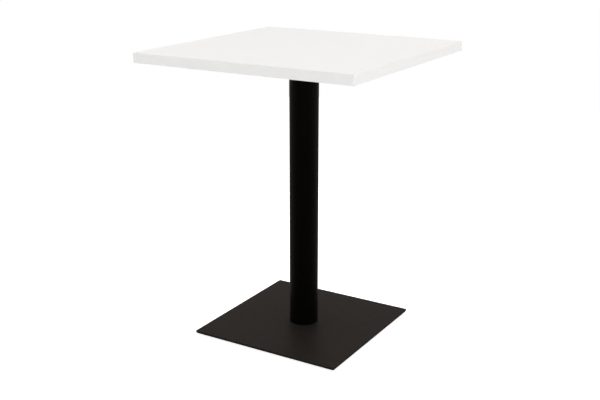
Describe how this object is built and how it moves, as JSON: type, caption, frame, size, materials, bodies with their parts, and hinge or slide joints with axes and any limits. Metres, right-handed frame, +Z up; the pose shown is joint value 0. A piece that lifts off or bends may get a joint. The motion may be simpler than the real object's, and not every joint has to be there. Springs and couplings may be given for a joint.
{
  "type": "bistro table",
  "caption": "Square bistro table with a white laminated top, a round black steel column and a flat square base plate on levelling glides.",
  "frame": {"origin": "on the floor, under the middle of the table", "axes": "+Z up along the column; -Y is the front; X and Y run along the sides of the top"},
  "size_m": [0.6, 0.6, 0.755],
  "materials": {
    "white_laminate": "fine satin texture",
    "backing_laminate": "matte",
    "white_edge_band": "satin",
    "particle_board": "raw chips",
    "zinc_insert": "die-cast zinc",
    "black_powder_coat": "satin powder coat with a fine grain",
    "zinc_steel": "bright zinc plate",
    "bare_steel": "turned, oiled",
    "glide_steel": "zinc plate",
    "black_nylon": "moulded"
  },
  "bodies": {
    "table": {"top_core_board": "particle_board", "top_face_laminate": "white_laminate", "top_backing_laminate": "backing_laminate", "edge_band_front": "white_edge_band", "edge_band_back": "white_edge_band", "edge_band_left": "white_edge_band", "edge_band_right": "white_edge_band", "top_threaded_inserts": "zinc_insert", "mounting_plate": "black_powder_coat", "mounting_washers": "zinc_steel", "mounting_screws": "zinc_steel", "column_tube": "black_powder_coat", "column_head_disc": "bare_steel", "column_foot_disc": "bare_steel", "column_head_screws": "zinc_steel", "column_foot_screws": "zinc_steel", "base_plate": "black_powder_coat"},
    "glide_sole_front_left": {"glide_sole_front_left": "black_nylon"},
    "glide_screw_front_left": {"glide_screw_front_left": "glide_steel"},
    "glide_sole_front_right": {"glide_sole_front_right": "black_nylon"},
    "glide_screw_front_right": {"glide_screw_front_right": "glide_steel"},
    "glide_sole_back_left": {"glide_sole_back_left": "black_nylon"},
    "glide_screw_back_left": {"glide_screw_back_left": "glide_steel"},
    "glide_sole_back_right": {"glide_sole_back_right": "black_nylon"},
    "glide_screw_back_right": {"glide_screw_back_right": "glide_steel"}
  },
  "joints": [
    {"name": "glide_front_left_extend", "type": "slide", "parent": "table", "child": "glide_sole_front_left", "axis": [0, 0, -1], "range_m": [0, 0.0025]},
    {"name": "glide_front_left_turn", "type": "hinge", "parent": "glide_sole_front_left", "child": "glide_screw_front_left", "pos_m": [-0.175, -0.175, 0.0035], "axis": [0, 0, -1], "range_deg": [0, 900]},
    {"name": "glide_front_right_extend", "type": "slide", "parent": "table", "child": "glide_sole_front_right", "axis": [0, 0, -1], "range_m": [0, 0.0025]},
    {"name": "glide_front_right_turn", "type": "hinge", "parent": "glide_sole_front_right", "child": "glide_screw_front_right", "pos_m": [0.175, -0.175, 0.0035], "axis": [0, 0, -1], "range_deg": [0, 900]},
    {"name": "glide_back_left_extend", "type": "slide", "parent": "table", "child": "glide_sole_back_left", "axis": [0, 0, -1], "range_m": [0, 0.0025]},
    {"name": "glide_back_left_turn", "type": "hinge", "parent": "glide_sole_back_left", "child": "glide_screw_back_left", "pos_m": [-0.175, 0.175, 0.0035], "axis": [0, 0, -1], "range_deg": [0, 900]},
    {"name": "glide_back_right_extend", "type": "slide", "parent": "table", "child": "glide_sole_back_right", "axis": [0, 0, -1], "range_m": [0, 0.0025]},
    {"name": "glide_back_right_turn", "type": "hinge", "parent": "glide_sole_back_right", "child": "glide_screw_back_right", "pos_m": [0.175, 0.175, 0.0035], "axis": [0, 0, -1], "range_deg": [0, 900]}
  ],
  "couplings": [
    {"joint": "glide_front_left_turn", "follows": "glide_front_left_extend", "rad_per_m": 6283.2},
    {"joint": "glide_front_right_turn", "follows": "glide_front_right_extend", "rad_per_m": 6283.2},
    {"joint": "glide_back_left_turn", "follows": "glide_back_left_extend", "rad_per_m": 6283.2},
    {"joint": "glide_back_right_turn", "follows": "glide_back_right_extend", "rad_per_m": 6283.2}
  ]
}
